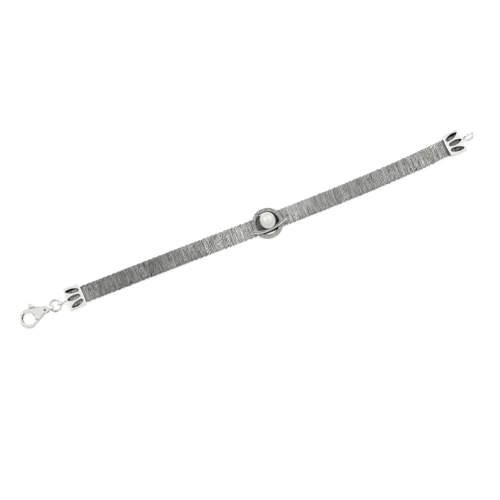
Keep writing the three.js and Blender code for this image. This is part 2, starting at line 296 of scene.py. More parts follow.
def tarnish_group():
    """Patches and streaks of tarnish over a clean colour. The streaks run across the bracelet."""
    group, given, result = new_group(
        "tarnish",
        [
            ("Vector", "Vector", None),
            ("Clean", "Color", (0.8, 0.8, 0.8, 1)),
            ("Tarnished", "Color", (0.1, 0.1, 0.1, 1)),
            ("Patch Scale", "Float", 0.2),
            ("Streak Scale", "Float", 1.5),
            ("Streak Length", "Float", 8.0),
            ("Amount", "Float", 0.5),
        ],
        [("Colour", "Color"), ("Mask", "Float")],
    )
    patches = noise(group, given["Vector"], given["Patch Scale"], 4.0, 0.6)
    squeeze = node(group, "CombineXYZ", {"X": 1.0, "Z": 1.0})
    group.links.new(math_node(group, "DIVIDE", 1.0, given["Streak Length"]), squeeze.inputs["Y"])
    across = node(
        group, "VectorMath", {0: given["Vector"], 1: squeeze.outputs[0]}, operation="MULTIPLY"
    )
    streaks = noise(group, across.outputs[0], given["Streak Scale"], 5.0, 0.7)
    both = math_node(group, "ADD", patches, streaks)
    spread = remap(group, both, 0.7, 1.3)
    mask = math_node(group, "MULTIPLY", spread, given["Amount"])
    group.links.new(mix_colour(group, mask, given["Clean"], given["Tarnished"]), result["Colour"])
    group.links.new(mask, result["Mask"])
    return group


def painted_lines_group():
    """Painted shade lines that lean along the band, lighter between them, and finer light and dark lines
    straight across it.
    """
    group, given, result = new_group(
        "painted_lines",
        [("Vector", "Vector", None), ("Spacing", "Float", 0.7), ("Strength", "Float", 0.5)],
        [("Shade", "Color")],
    )
    over = node(group, "VectorMath", {0: given["Vector"], 1: OVER_HATCH}, operation="DOT_PRODUCT")
    turns = math_node(group, "DIVIDE", over.outputs["Value"], given["Spacing"])
    drift = math_node(group, "MULTIPLY", noise(group, given["Vector"], 0.5, 2.0), 3.0)
    phase = math_node(group, "MULTIPLY", math_node(group, "ADD", turns, drift), TURN)
    wave = node(group, "Math", {0: phase}, operation="SINE").outputs["Value"]
    strong = remap(group, noise(group, given["Vector"], 0.22, 2.0), 0.4, 0.6, 0.45, 1.0)
    leaning = math_node(group, "MULTIPLY", wave, strong)
    straight = scaled(group, given["Vector"], (3.2, 0.2, 0.2))
    across = remap(group, noise(group, straight, 1.0, 2.0, 0.4), 0.36, 0.64, -1.0, 1.0)
    both = math_node(group, "ADD", leaning, math_node(group, "MULTIPLY", across, 0.5))
    deep = math_node(group, "MULTIPLY", both, given["Strength"])
    painted_light = remap(group, deep, -1.0, 1.0, 0.25, 1.75)
    colour = node(group, "CombineColor", {"Red": painted_light, "Green": painted_light, "Blue": painted_light})
    group.links.new(colour.outputs["Color"], result["Shade"])
    return group


def scratches_group():
    """Fine polishing scratches along the bracelet: two layers, from different parts of the noise."""
    group, given, result = new_group(
        "scratches",
        [("Vector", "Vector", None), ("Scale", "Float", 6.0)],
        [("Height", "Float")],
    )
    heights = []
    for turn in (0.4, 1.9):
        long_way = scaled(group, given["Vector"], (0.08, 2.5, 1.0), turn)
        lines = noise(group, long_way, given["Scale"], 2.0, 0.6)
        heights.append(remap(group, lines, 0.35, 0.65))
    group.links.new(math_node(group, "ADD", heights[0], heights[1]), result["Height"])
    return group


def pits_group():
    """Small round pits and grains, as on sandblasted or hammered metal."""
    group, given, result = new_group(
        "pits",
        [("Vector", "Vector", None), ("Scale", "Float", 3.0), ("Amount", "Float", 0.5)],
        [("Height", "Float"), ("Mask", "Float")],
    )
    cells = node(group, "TexVoronoi", {"Vector": given["Vector"], "Scale": given["Scale"]})
    grain = noise(group, given["Vector"], math_node(group, "MULTIPLY", given["Scale"], 2.2), 3.0, 0.6)
    floor = remap(group, cells.outputs["Distance"], 0.1, 0.6)
    height = math_node(group, "ADD", floor, grain)
    group.links.new(height, result["Height"])
    deep = remap(group, height, 1.0, 0.5)
    group.links.new(math_node(group, "MULTIPLY", deep, given["Amount"]), result["Mask"])
    return group


tarnish = tarnish_group()
painted_lines = painted_lines_group()
scratches = scratches_group()
pits = pits_group()

# ---------------------------------------------------------------- materials


def new_material(name):
    """A material, its node tree, its shader and the piece's own place in millimetres."""
    material = bpy.data.materials.new(name)
    material.use_nodes = True
    tree = material.node_tree
    shader = tree.nodes["Principled BSDF"]
    place = node(tree, "TexCoord").outputs["Object"]
    return material, tree, shader, scaled(tree, place, (1 / MM, 1 / MM, 1 / MM))


def effect(tree, group, **values):
    """A shared effect placed in a material, with its inputs linked or set by name."""
    made = node(tree, "Group")
    made.node_tree = group
    for key, value in values.items():
        label = key.replace("_", " ").title()
        if isinstance(value, bpy.types.NodeSocket):
            tree.links.new(value, made.inputs[label])
        else:
            made.inputs[label].default_value = value
    return made.outputs


def dress(tree, shader, metallic, colour, roughness, normal):
    """Sets how metallic the shader is, and links what changes over the surface."""
    shader.inputs["Metallic"].default_value = metallic
    tree.links.new(colour, shader.inputs["Base Color"])
    tree.links.new(roughness, shader.inputs["Roughness"])
    tree.links.new(normal, shader.inputs["Normal"])


def scratched(tree, place, depth, scale=5.0):
    """A normal with polishing scratches, their depth in metres."""
    lines = effect(tree, scratches, vector=place, scale=scale)
    return bump(tree, lines["Height"], depth, 0.5)


def distance_along(tree, place, way, centre=(0, 0)):
    """How far a place lies from a layout point in one direction, in millimetres."""
    start = DATUM / MM + (*centre, 0)
    away = node(tree, "VectorMath", {0: place, 1: tuple(start)}, operation="SUBTRACT")
    ahead = node(tree, "VectorMath", {0: away.outputs[0], 1: way}, operation="DOT_PRODUCT")
    return ahead.outputs["Value"]


def polished_silver(name, clean, tarnished, rough):
    """Bright silver with thin patches of tarnish and fine scratches."""
    material, tree, shader, place = new_material(name)
    tint = effect(
        tree,
        tarnish,
        vector=place,
        clean=clean,
        tarnished=tarnished,
        patch_scale=0.35,
        streak_scale=0.8,
        streak_length=1.5,
        amount=0.35,
    )
    gloss = remap(tree, tint["Mask"], 0.0, 0.35, rough, rough + 0.18)
    dress(tree, shader, 1.0, tint["Colour"], gloss, scratched(tree, place, 0.000004))
    return material


def worn_silver(name, clean, tarnished):
    """Silver with grey tarnish left in patches, for the rings, and darker for the tarnish and painted shade
    in the clasp's slots and bores and on its rivet.
    """
    material, tree, shader, place = new_material(name)
    tint = effect(
        tree,
        tarnish,
        vector=place,
        clean=clean,
        tarnished=tarnished,
        patch_scale=0.55,
        streak_scale=1.3,
        streak_length=1.0,
        amount=0.75,
    )
    gloss = remap(tree, tint["Mask"], 0.0, 0.8, 0.2, 0.45)
    dress(tree, shader, 1.0, tint["Colour"], gloss, scratched(tree, place, 0.000006))
    return material


def drawn_wire(name, light, dark):
    """Bright drawn wire, greyer towards the clasp."""
    material, tree, shader, place = new_material(name)
    bright = remap(tree, distance_along(tree, place, ALONG), -5.5, -1.0)
    cloud = noise(tree, place, 2.0)
    grey = mix_colour(tree, cloud, (0.85, 0.85, 0.83, 1), (0.65, 0.65, 0.64, 1))
    white = mix_colour(tree, cloud, light, dark)
    colour = mix_colour(tree, bright, grey, white)
    gloss = remap(tree, cloud, 0.3, 0.7, 0.22, 0.4)
    dress(tree, shader, 0.45, colour, gloss, bump(tree, cloud, 0.00001, 0.4))
    return material


# Light and shade painted on the winding by its place along the band, from the clasp's end on: painted
# shadows at the caps' mouths, painted light inside the caps, and lighter and darker stretches between.
BAND_PAINTED_LIGHT = [
    (-82.5, 1.15),
    (-77.0, 1.3),
    (-76.5, 0.45),
    (-75.8, 0.86),
    (-57, 0.72),
    (-45, 0.72),
    (-30, 1.08),
    (-12, 1.3),
    (12, 1.3),
    (33, 0.9),
    (52, 1.03),
    (66, 1.3),
    (71, 1.32),
    (74.6, 1.1),
    (75.3, 0.2),
    (75.8, 0.95),
    (81.5, 0.6),
]


def set_ramp(ramp, rows):
    """Gives a colour ramp its greys, from rows of position and level."""
    points = ramp.color_ramp.elements
    while len(points) > 1:
        points.remove(points[-1])
    for n, (position, level) in enumerate(rows):
        point = points[0] if n == 0 else points.new(position)
        point.position = position
        point.color = (level, level, level, 1)


def wound_wire(name, clean, tarnished, amount):
    """Oxidised wire, tarnished in streaks across the band, with light and shade painted along it and
    painted shade lines leaning across it.
    """
    material, tree, shader, place = new_material(name)
    tint = effect(
        tree,
        tarnish,
        vector=place,
        clean=clean,
        tarnished=tarnished,
        patch_scale=0.12,
        streak_scale=1.6,
        streak_length=7.0,
        amount=amount,
    )
    warm = remap(tree, noise(tree, place, 0.16, 2.0), 0.6, 0.72, 0.0, 0.3)
    colour = mix_colour(tree, warm, tint["Colour"], (0.40, 0.38, 0.31, 1))
    # Light and shade painted along the band.
    low, high = BAND_PAINTED_LIGHT[0][0], BAND_PAINTED_LIGHT[-1][0]
    along = remap(tree, distance_along(tree, place, ALONG), low, high)
    painted_light = node(tree, "ValToRGB", {"Fac": along})
    set_ramp(painted_light, [((x - low) / (high - low), level) for x, level in BAND_PAINTED_LIGHT])
    colour = mix_colour(tree, 1.0, colour, painted_light.outputs["Color"], "MULTIPLY")
    # Painted shade lines across the wires.
    lines = effect(tree, painted_lines, vector=place, spacing=0.73, strength=0.8)
    colour = mix_colour(tree, 1.0, colour, lines["Shade"], "MULTIPLY")
    gloss = remap(tree, tint["Mask"], 0.0, 1.0, 0.32, 0.6)
    dress(tree, shader, 0.9, colour, gloss, bump(tree, noise(tree, place, 12.0), 0.00001, 0.4))
    return material


def near_black_core():
    """Near-black on the core, seen only where the turns lie apart."""
    material, tree, shader, place = new_material("band_core")
    core_cloud = noise(tree, place, 2.0, 4.0)
    colour = mix_colour(tree, core_cloud, (0.04, 0.04, 0.04, 1), (0.11, 0.108, 0.105, 1))
    tree.links.new(colour, shader.inputs["Base Color"])
    tree.links.new(bump(tree, core_cloud, 0.00003, 0.5), shader.inputs["Normal"])
    shader.inputs["Metallic"].default_value = 0.4
    shader.inputs["Roughness"].default_value = 0.7
    return material


def hammered_silver():
    """Grey silver with dark pits, more of them on the side away from the crossing wires."""
    material, tree, shader, place = new_material("hammered_silver")
    rough = remap(tree, distance_along(tree, place, AWAY_FROM_WIRES), -4.0, 4.0, 0.4, 1.35)
    dents = effect(tree, pits, vector=place, scale=1.15, amount=rough)
    tint = effect(
        tree,
        tarnish,
        vector=place,
        clean=(0.5, 0.5, 0.485, 1),
        tarnished=(0.25, 0.25, 0.24, 1),
        patch_scale=0.5,
        streak_scale=1.0,
        streak_length=1.0,
        amount=0.7,
    )
    colour = mix_colour(tree, dents["Mask"], tint["Colour"], (0.05, 0.05, 0.05, 1))
    gloss = remap(tree, tint["Mask"], 0.0, 0.7, 0.42, 0.62)
    dress(tree, shader, 0.9, colour, gloss, bump(tree, dents["Height"], 0.00016, 0.9))
    return material


def hook_painted_reflection(clean, tarnished):
    """Cast silver with a dark reflection painted inside the hook's outer curve."""
    material, tree, shader, place = new_material("hook_painted_reflection")
    x, y = CLASP["pivot"]
    side = distance_along(tree, place, HOOK_OUTWARDS, (x - CLASP["loop_x"], y))
    cloud = noise(tree, place, 1.2)
    edge = math_node(tree, "ADD", side, remap(tree, cloud, 0.3, 0.7, -0.4, 0.4))
    # Painted reflection: dark on the inner wall of the hook's outer curve.
    colour = mix_colour(tree, remap(tree, edge, 1.3, 2.1), clean, tarnished)
    gloss = remap(tree, cloud, 0.3, 0.7, 0.3, 0.5)
    dress(tree, shader, 0.8, colour, gloss, scratched(tree, place, 0.000005))
    return material


def black_silver():
    """Silver blackened all over, with a grey reflection painted on the clasp's side of the setting."""
    material, tree, shader, place = new_material("black_silver")
    cloud = noise(tree, place, 0.6, 4.0)
    colour = mix_colour(tree, cloud, (0.006, 0.006, 0.006, 1), (0.03, 0.03, 0.03, 1))
    # Painted reflection: greyer on the clasp's side of the plate, clear of the wires.
    clasp_side = remap(tree, distance_along(tree, place, ALONG), -0.5, -4.2)
    clear_of_wires = remap(tree, distance_along(tree, place, ACROSS), -3.0, -1.8)
    side = math_node(tree, "MULTIPLY", clasp_side, clear_of_wires)
    painted_sheen = math_node(tree, "MULTIPLY", side, remap(tree, cloud, 0.3, 0.7, 0.35, 1.0))
    colour = mix_colour(tree, painted_sheen, colour, (0.2, 0.2, 0.2, 1))
    gloss = remap(tree, cloud, 0.3, 0.7, 0.3, 0.5)
    dress(tree, shader, 0.7, colour, gloss, scratched(tree, place, 0.000005, 6.0))
    return material


def pearl_lustre():
    """Creamy nacre under a bright coat, with a rosy sheen painted towards its outline."""
    material, tree, shader, place = new_material("pearl_lustre")
    cloud = noise(tree, place, 0.35)
    body = mix_colour(tree, cloud, (0.755, 0.755, 0.71, 1), (0.72, 0.725, 0.695, 1))
    # Painted sheen: the colour turns a little rosier where the pearl is seen edge-on.
    facing = node(tree, "LayerWeight", {"Blend": 0.35}).outputs["Facing"]
    painted_rim_sheen = mix_colour(tree, facing, body, (0.74, 0.725, 0.70, 1))
    gloss = remap(tree, cloud, 0.3, 0.7, 0.28, 0.36)
    dress(tree, shader, 0.0, painted_rim_sheen, gloss, bump(tree, noise(tree, place, 1.2, 2.0), 0.00001, 0.3))
    shader.inputs["Subsurface Weight"].default_value = 0.15
    shader.inputs["Subsurface Radius"].default_value = (0.001, 0.0009, 0.0008)
    shader.inputs["Coat Weight"].default_value = 0.8
    shader.inputs["Coat IOR"].default_value = 2.3
    shader.inputs["Coat Roughness"].default_value = 0.1
    return material


SILVER = polished_silver(
    "polished_silver", clean=(0.90, 0.89, 0.87, 1), tarnished=(0.66, 0.65, 0.62, 1), rough=0.16
)
CAST_SILVER = polished_silver(
    "cast_silver", clean=(0.80, 0.795, 0.77, 1), tarnished=(0.52, 0.52, 0.50, 1), rough=0.32
)
WORN = worn_silver("worn_silver", clean=(0.95, 0.94, 0.92, 1), tarnished=(0.14, 0.14, 0.135, 1))
# Darker copy for the tarnish and painted shade in the clasp's slots and bores and on its rivet.
SHADED = worn_silver("shaded_silver", clean=(0.40, 0.40, 0.39, 1), tarnished=(0.08, 0.08, 0.08, 1))
# The hook's tarnished colour is the dark of a painted reflection.
HOOK_PAINTED_REFLECTION = hook_painted_reflection(clean=(0.85, 0.85, 0.83, 1), tarnished=(0.06, 0.06, 0.06, 1))
DRAWN = drawn_wire("drawn_wire", light=(1.0, 0.99, 0.97, 1), dark=(0.85, 0.85, 0.83, 1))
TWISTED = drawn_wire("twisted_wire", light=(0.85, 0.85, 0.83, 1), dark=(0.6, 0.6, 0.59, 1))
# The wound wire in three copies, lighter the higher their turns lie: light painted on the crossing turns,
# and more on the proud turns.
WOUND = wound_wire(
    "wound_wire", clean=(0.46, 0.46, 0.45, 1), tarnished=(0.215, 0.215, 0.212, 1), amount=0.75
)
WOUND_UPPER_LIT = wound_wire(
    "wound_wire_upper_lit", clean=(0.50, 0.50, 0.49, 1), tarnished=(0.25, 0.25, 0.245, 1), amount=0.7
)
WOUND_PROUD_LIT = wound_wire(
    "wound_wire_proud_lit", clean=(0.51, 0.51, 0.50, 1), tarnished=(0.28, 0.28, 0.275, 1), amount=0.6
)
CORE_BLACK = near_black_core()
HAMMERED = hammered_silver()
BLACK = black_silver()
LUSTRE = pearl_lustre()

# ---------------------------------------------------------------- mesh helpers


def finish_piece(piece, material, body, solid):
    """Gives a piece its finish and the body it rides on, and hides the solid that it stands for."""
    if material:
        piece.data.materials.append(material)
    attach(piece, body)
    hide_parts(solid)


def mesh_object(name, points, faces, sharp=None):
    """An object from points in layout millimetres. Edges above the angle sharp, in degrees, stay hard."""
    mesh = bpy.data.meshes.new(name)
    mesh.from_pydata(to_world(points).tolist(), [], faces)
    mesh.validate()
    mesh.shade_smooth()
    if sharp:
        mesh.set_sharp_from_angle(angle=math.radians(sharp))
    made = bpy.data.objects.new(name, mesh)
    bpy.context.scene.collection.objects.link(made)
    return made


def grid_faces(rows, columns, row_loop=False):
    """Quads over rows of points that each close on themselves, and with row_loop from last row to first."""
    faces = []
    for r in range(rows if row_loop else rows - 1):
        for c in range(columns):
            a, b = r * columns, (r + 1) % rows * columns
            d = (c + 1) % columns
            faces.append((a + c, a + d, b + d, b + c))
    return faces


def end_faces(total, columns):
    """The two faces that close such a grid at its first and its last row."""
    return [tuple(range(columns - 1, -1, -1)), tuple(range(total - columns, total))]


def unit(rows):
    """Each row scaled to a length of 1."""
    return rows / np.linalg.norm(rows, axis=1, keepdims=True)


def tube(path, normals, radius, sides, closed=False):
    """Points and faces of a round wire along a path. normals are the path's outward directions."""
    if closed:
        tangent = unit(np.roll(path, -1, axis=0) - np.roll(path, 1, axis=0))
    else:
        tangent = unit(np.gradient(path, axis=0))
    side = unit(np.cross(tangent, normals))
    out = np.cross(side, tangent)
    angle = np.arange(sides) * TURN / sides
    radius = np.broadcast_to(np.asarray(radius, float), (len(path),))[:, None, None]
    ring = np.cos(angle)[None, :, None] * out[:, None] + np.sin(angle)[None, :, None] * side[:, None]
    points = (path[:, None] + radius * ring).reshape(-1, 3)
    faces = grid_faces(len(path), sides, row_loop=closed)
    if not closed:
        faces += end_faces(len(points), sides)
    return points, faces


def joined(parts):
    """One set of points and faces from several."""
    points, faces, start = [], [], 0
    for part_points, part_faces in parts:
        points.append(part_points)
        faces += [tuple(n + start for n in face) for face in part_faces]
        start += len(part_points)
    return np.vstack(points), faces


def arc(x, y, radius, start, end, count):
    """Points on a round stretch, from one angle to another."""
    angle = np.linspace(start, end, count)
    return np.column_stack([x + radius * np.cos(angle), y + radius * np.sin(angle)])


def bezier(*points, count):
    """A quadratic or cubic curve from its control points."""
    t = np.linspace(0, 1, count)[:, None]
    rows = [np.asarray(p, float)[None] for p in points]
    while len(rows) > 1:
        rows = [a * (1 - t) + b * t for a, b in zip(rows, rows[1:])]
    return rows[0]


def outline(*stretches):
    """One closed outline, without doubled points."""
    points = np.vstack([np.atleast_2d(np.asarray(s, float)) for s in stretches])
    apart = np.linalg.norm(points - np.roll(points, 1, axis=0), axis=1) > 1e-4
    return points[apart]


def inset(points, distance):
    """The outline moved inwards. The outline runs anticlockwise."""
    before = points - np.roll(points, 1, axis=0)
    after = np.roll(before, -1, axis=0)
    normal = []
    for edge in (unit(before), unit(after)):
        normal.append(np.column_stack([-edge[:, 1], edge[:, 0]]))
    middle = normal[0] + normal[1]
    middle /= np.maximum(np.sum(middle * normal[0], axis=1, keepdims=True), 0.5)
    return points + middle * distance


def layered(outlines, heights):
    """A solid from outlines of the same number of points, one above the other."""
    count = len(outlines[0])
    points = np.vstack([np.column_stack([o, np.full(count, z)]) for o, z in zip(outlines, heights)])
    return points, grid_faces(len(outlines), count) + end_faces(len(points), count)


def rounded_plate(points, bottom, top, edge, steps=5):
    """A plate with rounded upper and lower edges."""
    angle = np.linspace(0, QUARTER, steps)
    insets = edge * (1 - np.sin(angle))
    drops = edge * (1 - np.cos(angle))
    outlines = [inset(points, d) for d in insets] + [inset(points, d) for d in insets[::-1]]
    heights = [bottom + d for d in drops] + [top - d for d in drops[::-1]]
    return layered(outlines, heights)


def flared_cutter(points, bottom, top, rim, both=False):
    """A cutter that widens towards its top, and with both its bottom, to leave a rounded rim."""
    angle = np.linspace(0, QUARTER, 4)
    grow = rim * (1 - np.cos(angle))
    rise = rim * np.sin(angle)
    outlines = [inset(points, -g) for g in grow] + [inset(points, -rim - CLEAR)]
    heights = [top - rim + r for r in rise] + [top + CLEAR]
    if both:
        outlines = [inset(points, -rim - CLEAR)] + [inset(points, -g) for g in grow[::-1]] + outlines
        heights = [bottom - CLEAR] + [bottom + rim - r for r in rise[::-1]] + heights
    else:
        outlines = [points] + outlines
        heights = [bottom] + heights
    return layered(outlines, heights)


def lathe(profile, count):
    """A solid turned round the z axis from rows of radius and height, which close on themselves."""
    angle = np.arange(count) * TURN / count
    profile = np.asarray(profile, float)
    ring = np.column_stack([np.cos(angle), np.sin(angle)])
    points = np.empty((len(profile), count, 3))
    points[:, :, :2] = profile[:, None, :1] * ring[None]
    points[:, :, 2] = profile[:, None, 1]
    return points.reshape(-1, 3), grid_faces(len(profile), count, row_loop=True)


def solid_lathe(profile, count):
    """As lathe, but closed by a flat face at its first and last row."""
    angle = np.arange(count) * TURN / count
    ring = np.column_stack([np.cos(angle), np.sin(angle)])
    outlines = [ring * radius for radius, height in profile]
    return layered(outlines, [height for radius, height in profile])


def turned(points, angle):
    """Turned about the z axis."""
    cos, sin = math.cos(angle), math.sin(angle)
    points = np.asarray(points, float)
    x, y = points[:, 0] * cos - points[:, 1] * sin, points[:, 0] * sin + points[:, 1] * cos
    return np.column_stack([x, y, points[:, 2]])


def tipped(points, angle):
    """Turned about the x axis."""
    cos, sin = math.cos(angle), math.sin(angle)
    y, z = points[:, 1] * cos - points[:, 2] * sin, points[:, 1] * sin + points[:, 2] * cos
    return np.column_stack([points[:, 0], y, z])


def moved(points, x, y, z):
    """Shifted along the three axes."""
    return points + np.array([x, y, z])


def torus(radius, wire, count=72, start=0.0, sweep=TURN):
    """A ring of round wire lying in the xy plane. A sweep below a full turn leaves two flat ends."""
    closed = sweep >= TURN
    angle = start + np.linspace(0, sweep, count, endpoint=not closed)
    out = np.column_stack([np.cos(angle), np.sin(angle), np.zeros(len(angle))])
    return tube(out * radius, out, wire / 2, 20, closed)


def carve(name, base, cuts, sharp, joins=(), skin=SILVER):
    """The base with the joins added and the cuts taken away. A cut's row names the finish of its walls."""
    made = mesh_object(name, *base)
    made.data.materials.append(skin)
    steps = [("UNION", skin, part) for part in joins] + [("DIFFERENCE", *row) for row in cuts]
    tools = []
    for operation, finish, (points, faces) in steps:
        tool = mesh_object(name + "_tool", points, faces)
        tool.data.materials.append(finish)
        tools.append(tool)
        step = made.modifiers.new("carve", "BOOLEAN")
        step.operation = operation
        step.solver = "EXACT"
        step.material_mode = "TRANSFER"
        step.object = tool
    graph = bpy.context.evaluated_depsgraph_get()
    mesh = bpy.data.meshes.new_from_object(made.evaluated_get(graph))
    made.modifiers.clear()
    made.data = mesh
    for tool in tools:
        bpy.data.objects.remove(tool)
    mesh.shade_smooth()
    mesh.set_sharp_from_angle(angle=math.radians(sharp))
    weigh = made.modifiers.new("even shading", "WEIGHTED_NORMAL")
    weigh.keep_sharp = True
    return made


# ---------------------------------------------------------------- where the band runs


def smooth(t):
    """A ramp from 0 to 1 that starts and ends gently."""
    t = np.clip(t, 0, 1)
    return t * t * (3 - 2 * t)


def band_side(x):
    """How far to the side the band's middle line lies."""
    s = x / BAND["half_span"]
    return BAND["offset"] + BAND["lean"] * s + BAND["bow"] * s**2 + BAND["sway"] * s**3


def band_height(x):
    """The height of the band's middle line, which rises to the middle of each cap."""
    low, high = BAND["thickness"] / 2, CAP["height"] / 2
    left = 1 - (x - BAND["left_mouth"]) / BAND["rise"]
    right = 1 - (BAND["right_mouth"] - x) / BAND["rise"]
    return low + (high - low) * smooth(np.maximum(left, right))


def band_heading(x):
    """The band's direction in plan, as an angle."""
    return math.atan2(band_side(x + 0.5) - band_side(x - 0.5), 1)


def on_band(x, across, up):
    """Layout points from the place along the band and the offsets across it and above its middle."""
    centre = np.column_stack([x, band_side(x), band_height(x)])
    step = 0.25
    sideways = band_side(x + step) - band_side(x - step)
    rise = band_height(x + step) - band_height(x - step)
    tangent = unit(np.column_stack([np.full(len(x), 2 * step), sideways, rise]))
    left = unit(np.column_stack([-tangent[:, 1], tangent[:, 0], np.zeros(len(x))]))
    above = np.cross(tangent, left)
    return centre + left * across[:, None] + above * up[:, None]


def band_section(share, depth):
    """Offsets across and up, and the outward direction, at shares of the way round the band.

    depth is how far below the band's envelope the points lie."""
    corner = BAND["corner"]
    half_width, half_height = BAND["width"] / 2, BAND["thickness"] / 2
    straight_x, straight_y = half_width - corner, half_height - corner
    steps = 24
    angle = np.concatenate([np.linspace(n * QUARTER, (n + 1) * QUARTER, steps) for n in range(4)])
    middle = np.repeat((np.arange(4) + 0.5) * QUARTER, steps)
    sign_x = np.where(np.cos(middle) > 0, 1, -1)
    sign_y = np.where(np.sin(middle) > 0, 1, -1)
    across = straight_x * sign_x + corner * np.cos(angle)
    up = straight_y * sign_y + corner * np.sin(angle)
    across, up, angle = np.append(across, across[0]), np.append(up, up[0]), np.append(angle, TURN)
    length = np.concatenate([[0], np.cumsum(np.hypot(np.diff(across), np.diff(up)))])
    way = np.mod(share, 1) * length[-1]
    facing = np.interp(way, length, angle)
    across = np.interp(way, length, across) - depth * np.cos(facing)
    up = np.interp(way, length, up) - depth * np.sin(facing)
    return across, up, facing


def wander(x, across, chance, length_x, length_y, count=7):
    """A smooth wandering value, mostly between -1 and 1, over the band's length and width."""
    total = np.zeros(np.broadcast(x, across).shape)
    for _ in range(count):
        slope_x = chance.uniform(-1, 1) * TURN / length_x
        slope_y = chance.uniform(-1, 1) * TURN / length_y
        total = total + np.sin(x * slope_x + across * slope_y + chance.uniform(0, TURN))
    return total / math.sqrt(count)


# ---------------------------------------------------------------- the band

WIRE = 0.3
PITCH = 0.335
BASE_DEPTH = 0.36  # from the band's envelope to the middle of the base winding's wire
CORE_DEPTH = BASE_DEPTH + 0.24
SKIN = WIRE / 2 + 0.02  # the least depth of a wire's middle that lies over the base winding
TURN_POINTS = 44
WIRE_SIDES = 6

CORE_START = BAND["left_mouth"] - BAND["tuck"]
CORE_END = BAND["right_mouth"] + BAND["tuck"]
WIRE_START, WIRE_END = CORE_START + 0.15, CORE_END - 0.15

# The base winding wanders along the band in broad and fine waves, and a little up and down. At the
# band's edges its turns stand proud and lie low in turn, a bundle apart.
BASE_TURNS = {"broad": 0.3, "fine": 0.04, "lift": 0.045, "bundle": 1.7, "proud": 0.38, "low": 0.17}

# Turns that lie over the base winding, with how far apart they are, at least and at most. A leaning
# turn's lean is what it gains along the band for each millimetre across it, and it drifts and varies.
SLIGHT_TURNS = {
    "margin": 2.4,
    "lean": 0.18,
    "drift": 0.2,
    "drift_line": 0.0,
    "vary": 0.05,
    "least": 0.55,
    "most": 0.95,
}
STEEP_TURNS = {
    "margin": 6.4,
    "lean": 1.5,
    "drift": 0.3,
    "drift_line": 5.0,
    "vary": 0.06,
    "least": 1.2,
    "most": 1.8,
}
DIVE = {"deep": 0.13, "edge": 0.2}
PROUD_TURNS = {
    "margin": 1.5,
    "vary": 0.04,
    "pairs": 0.3,
    "apart": 0.31,
    "wander": 0.1,
    "deep": 0.05,
    "least": 1.6,
    "most": 5.0,
}

# Places where two turns lie apart and the dark core shows.
LONG_SLITS = [
    {"x": -50.2, "across": 1.5, "length": 3.6, "gap": 0.8},
    {"x": -52.9, "across": -2.2, "length": 1.6, "gap": 0.6},
    {"x": -57.3, "across": -2.6, "length": 2.0, "gap": 0.65},
    {"x": -69.6, "across": -1.6, "length": 2.2, "gap": 0.6},
    {"x": 60.9, "across": 0.9, "length": 2.6, "gap": 0.5},
    {"x": 63.2, "across": -0.6, "length": 2.8, "gap": 0.5},
]


def short_slits(chance):
    """Short slits all along the band."""
    rows = []
    for x in np.arange(BAND["left_mouth"], BAND["right_mouth"], 1.3):
        row = {"x": x + chance.uniform(-0.6, 0.6), "across": chance.uniform(-3.2, 3.2)}
        row["length"] = chance.uniform(0.9, 2.2)
        row["gap"] = chance.uniform(0.12, 0.36)
        rows.append(row)
    return rows


def parted(x, across):
    """How far the turns are pushed aside along the band by the slits near them."""
    push = np.zeros(np.broadcast(x, across).shape)
    for row in SLITS:
        near = np.abs(x - row["x"]) < 3.0
        away, over = x[near] - row["x"], (across[near] - row["across"]) / (row["length"] / 2)
        fade = np.exp(-np.abs(away) / 0.8) * np.exp(-(over**4))
        push[near] += row["gap"] / 2 * np.sign(away) * fade
    return push


SLITS = LONG_SLITS + short_slits(np.random.default_rng(11))


def winding_tube(x, across, up, facing, closed=False):
    """The wire through places given along the band, across it and above its middle."""
    out = on_band(x, across + np.cos(facing), up + np.sin(facing)) - on_band(x, across, up)
    return tube(on_band(x, across, up), out, WIRE / 2, WIRE_SIDES, closed)


def make_core():
    """The dark body under the winding."""
    rows, columns = 160, 24
    x = np.linspace(CORE_START, CORE_END, rows)
    across, up, _ = band_section(np.arange(columns) / columns, CORE_DEPTH)
    points = on_band(np.repeat(x, columns), np.tile(across, rows), np.tile(up, rows))
    faces = grid_faces(rows, columns) + end_faces(len(points), columns)
    core = mesh_object("band_core", points, faces)
    finish_piece(core, CORE_BLACK, "bracelet", "band")


def make_base_winding():
    """One fine wire wound round and round the core, in three stretches."""
    chance = np.random.default_rng(11)
    turns = int((WIRE_END - WIRE_START) / PITCH)
    way = np.arange(turns * TURN_POINTS) / TURN_POINTS
    across, up, facing = band_section(way, BASE_DEPTH)
    x = WIRE_START + PITCH * way
    broad = BASE_TURNS["broad"] * wander(x, across, chance, 9, 12)
    fine = BASE_TURNS["fine"] * wander(x, across, chance, 2.0, 2.4)
    x = x + broad + fine
    x = np.clip(x + parted(x, across), WIRE_START, WIRE_END)
    lift = BASE_TURNS["lift"] * wander(x, across, chance, 0.8, 6)
    sway = wander(x, 0 * x, chance, 9, 9)
    wave = 0.5 + 0.5 * np.sin(x * TURN / BASE_TURNS["bundle"] + 1.3 * sway)
    lift += np.cos(facing) ** 2 * (BASE_TURNS["proud"] * wave - BASE_TURNS["low"])
    lift = np.minimum(lift, BASE_DEPTH - WIRE / 2)
    across = across + lift * np.cos(facing)
    up = up + lift * np.sin(facing)
    for n, part in enumerate(np.array_split(np.arange(len(way)), 3)):
        part = np.append(part, min(part[-1] + 1, len(way) - 1))
        points, faces = winding_tube(x[part], across[part], up[part], facing[part])
        piece = mesh_object(f"winding_{n + 1}", points, faces)
        finish_piece(piece, WOUND, "bracelet", "band")


